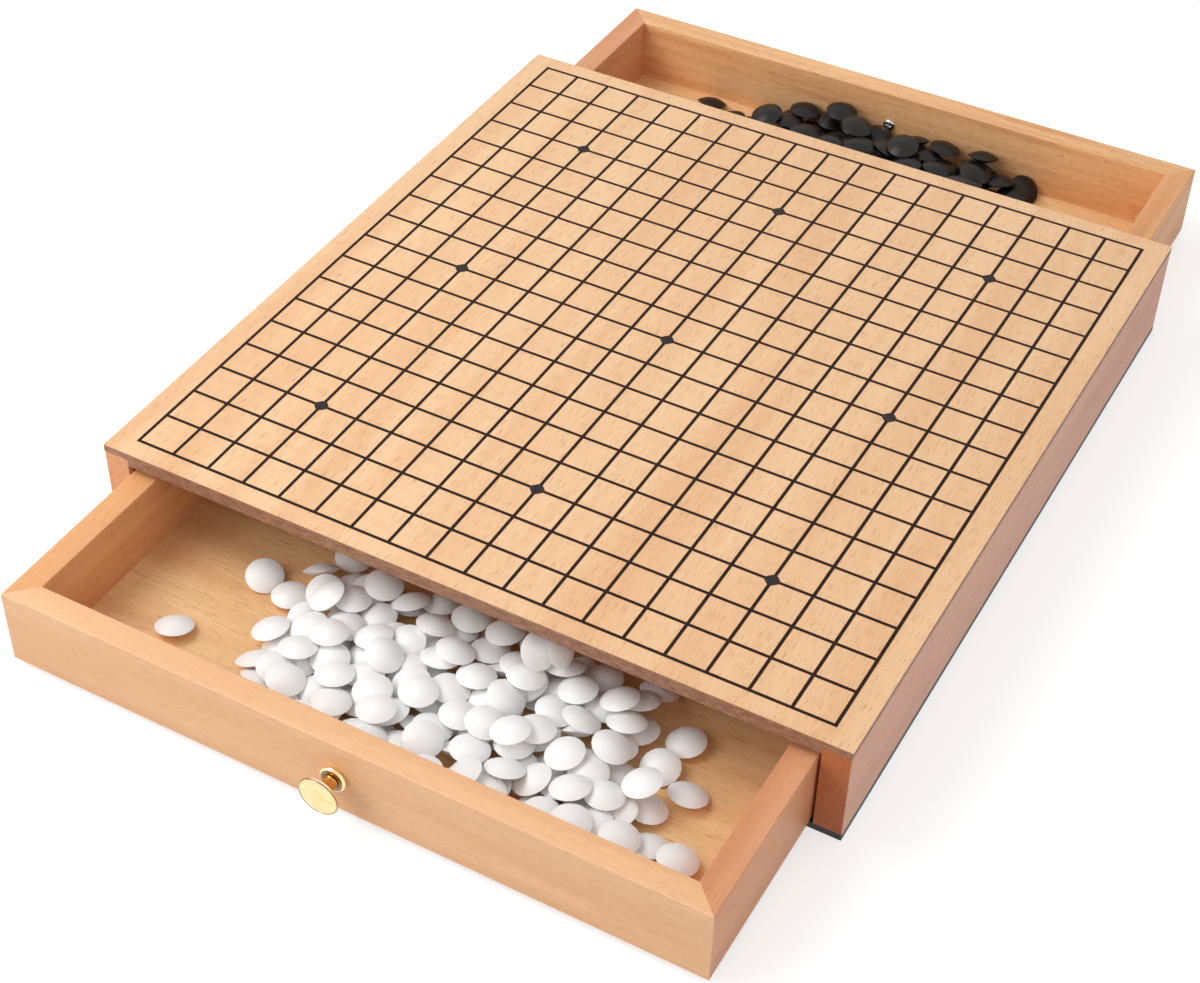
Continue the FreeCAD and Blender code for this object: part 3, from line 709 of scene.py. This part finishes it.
def heap_tree():
    """On every point, one stone with its short way along the point's axis."""
    tree = new_tree("stone_heap", [("radius", "Float"), ("half_thickness", "Float"),
                                   ("lens_power", "Float"), ("seed", "Int"),
                                   ("finish", "Material")])
    given = add_step(tree, "NodeGroupInput").outputs
    ball = add_step(tree, "GeometryNodeMeshUVSphere", Segments=STONE_SEGMENTS,
                    Rings=STONE_RINGS, Radius=1.0)
    place = add_step(tree, "GeometryNodeInputPosition").outputs[0]
    parts = add_step(tree, "ShaderNodeSeparateXYZ", Vector=place).outputs
    height = work_out(tree, "ABSOLUTE", parts["Z"])
    lens = work_out(tree, "POWER", height, given["lens_power"])
    level = work_out(tree, "MULTIPLY", lens, work_out(tree, "SIGN", parts["Z"]))
    deep = work_out(tree, "MULTIPLY", level, given["half_thickness"])
    wide = [work_out(tree, "MULTIPLY", parts[axis], given["radius"]) for axis in "XY"]
    spot = add_step(tree, "ShaderNodeCombineXYZ", X=wide[0], Y=wide[1], Z=deep).outputs[0]
    rounded = add_step(tree, "GeometryNodeSetShadeSmooth", {"domain": "FACE"},
                       Geometry=ball.outputs["Mesh"], Shade_Smooth=True)
    rimmed = add_step(tree, "GeometryNodeSetShadeSmooth", {"domain": "EDGE"},
                      Geometry=rounded.outputs["Geometry"], Shade_Smooth=False,
                      Selection=work_out(tree, "LESS_THAN", height, RIM_BAND))
    stone = add_step(tree, "GeometryNodeSetPosition", Geometry=rimmed.outputs["Geometry"],
                     Position=spot)
    axis = add_step(tree, "GeometryNodeInputNamedAttribute", {"data_type": "FLOAT_VECTOR"},
                    Name="axis").outputs["Attribute"]
    turn = add_step(tree, "FunctionNodeAlignRotationToVector", {"axis": "Z"}, Vector=axis)
    laid = set_on_points(tree, given["Geometry"], stone.outputs["Geometry"],
                         turn.outputs["Rotation"])
    chance = add_step(tree, "FunctionNodeRandomValue", {"data_type": "FLOAT"}, Seed=given["seed"])
    toned = add_step(tree, "GeometryNodeStoreNamedAttribute",
                     {"data_type": "FLOAT", "domain": "INSTANCE"}, Geometry=laid, Name="tone",
                     Value=chance.outputs[RANDOM_FLOAT])
    give_out(tree, toned.outputs["Geometry"], given["finish"])
    return tree


def lay_stones(name, node, body, seed, finish):
    """A stone for each solid of the node, at its middle and thin where it is thin."""
    corners = islands(node)
    heap = points_object(name, [stone.mean(axis=0) for stone in corners])
    axes = heap.data.attributes.new("axis", "FLOAT_VECTOR", "POINT")
    for number, stone in enumerate(corners):
        spread = numpy.cov((stone - stone.mean(axis=0)).T)
        axes.data[number].vector = numpy.linalg.eigh(spread)[1][:, 0]
    grow(heap, stone_heap, radius=STONE_RADIUS, half_thickness=STONE_HALF_THICKNESS,
         lens_power=LENS_POWER, seed=seed, finish=finish.material)
    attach(heap, body)
    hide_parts(node)


stone_heap = heap_tree()
white = stone_finish("white_stone", (colour(252, 251, 250), colour(255, 255, 254)),
                     roughness=0.42, gloss=0.1)
black = stone_finish("black_stone", (colour(19, 17, 16), colour(33, 30, 29)), roughness=0.34,
                     gloss=0.0, specular=0.3)
lay_stones("white_stone_heap", "white_stones", "front_drawer", 3, white)
lay_stones("black_stone_heap", "black_stones", "rear_drawer", 5, black)


# ------------------------------------------------------------------------------------------------
# Studio. A plain white floor and surroundings, soft lamps high on the left, in front and low on
# the right, and the camera high at the front right corner.

CAMERA_PLACE = (0.4197, -0.8681, 0.81)
CAMERA_TURN = (47.71, -0.22, 29.94)
FOCAL_LENGTH = 66.45
FRAME_SHIFT = (0.0454, 0.0148)
FLOOR_HALF = 4.0
FILL_LIGHT = 0.56
FLOOR_TONE = 0.6
FLOOR_GLOW = 0.6
WHITE = (1, 1, 1, 1)
# Each lamp's name, place, size and power in watts
LAMPS = (
    ("overhead_lamp", (-0.9, -0.35, 1.3), 0.9, 9.6),
    ("front_lamp", (-1.1, -1.4, 0.9), 1.2, 12),
    ("right_lamp", (1.5, -0.6, 0.7), 1.2, 2.5),
)


def seen_or_mirrored(tree):
    """1 for rays that show the background: from the camera, off a gloss or through glass."""
    path = add_step(tree, "ShaderNodeLightPath").outputs
    seen = path["Is Camera Ray"]
    for name in ("Is Glossy Ray", "Is Transmission Ray"):
        seen = work_out(tree, "MAXIMUM", seen, path[name])
    return seen


def light_world():
    world = bpy.data.worlds.new("white_room")
    bpy.context.scene.world = world
    world.use_nodes = True
    tree = world.node_tree
    strength = add_step(tree, "ShaderNodeMapRange", Value=seen_or_mirrored(tree),
                        To_Min=FILL_LIGHT, To_Max=1.0)
    background = tree.nodes["Background"]
    background.inputs["Color"].default_value = WHITE
    tree.links.new(strength.outputs["Result"], background.inputs["Strength"])


def lay_floor():
    corners = [(-FLOOR_HALF, -FLOOR_HALF, 0), (FLOOR_HALF, -FLOOR_HALF, 0),
               (FLOOR_HALF, FLOOR_HALF, 0), (-FLOOR_HALF, FLOOR_HALF, 0)]
    mesh = bpy.data.meshes.new("studio_floor")
    mesh.from_pydata(corners, [], [(0, 1, 2, 3)])
    floor = add_object("studio_floor", mesh)
    paper = Finish("floor_paper", Roughness=0.9, Specular_IOR_Level=0.0,
                   Base_Color=(FLOOR_TONE, FLOOR_TONE, FLOOR_TONE, 1), Emission_Color=WHITE)
    glow = work_out(paper.tree, "MULTIPLY", seen_or_mirrored(paper.tree), FLOOR_GLOW)
    paper.drive("Emission Strength", glow)
    mesh.materials.append(paper.material)


def hang_lamp(name, place, size, power):
    """A square lamp that faces the middle of the floor."""
    lamp = bpy.data.lights.new(name, "AREA")
    lamp.shape = "SQUARE"
    lamp.size = size
    lamp.energy = power
    holder = add_object(name, lamp)
    holder.location = place
    holder.rotation_euler = (-Vector(place)).to_track_quat("-Z", "Y").to_euler()


light_world()
lay_floor()
for lamp in LAMPS:
    hang_lamp(*lamp)

camera = add_object("camera", bpy.data.cameras.new("camera"))
camera.location = CAMERA_PLACE
camera.rotation_euler = [math.radians(angle) for angle in CAMERA_TURN]
camera.data.lens = FOCAL_LENGTH
camera.data.shift_x, camera.data.shift_y = FRAME_SHIFT
bpy.context.scene.camera = camera
bpy.context.scene.view_settings.view_transform = "Standard"
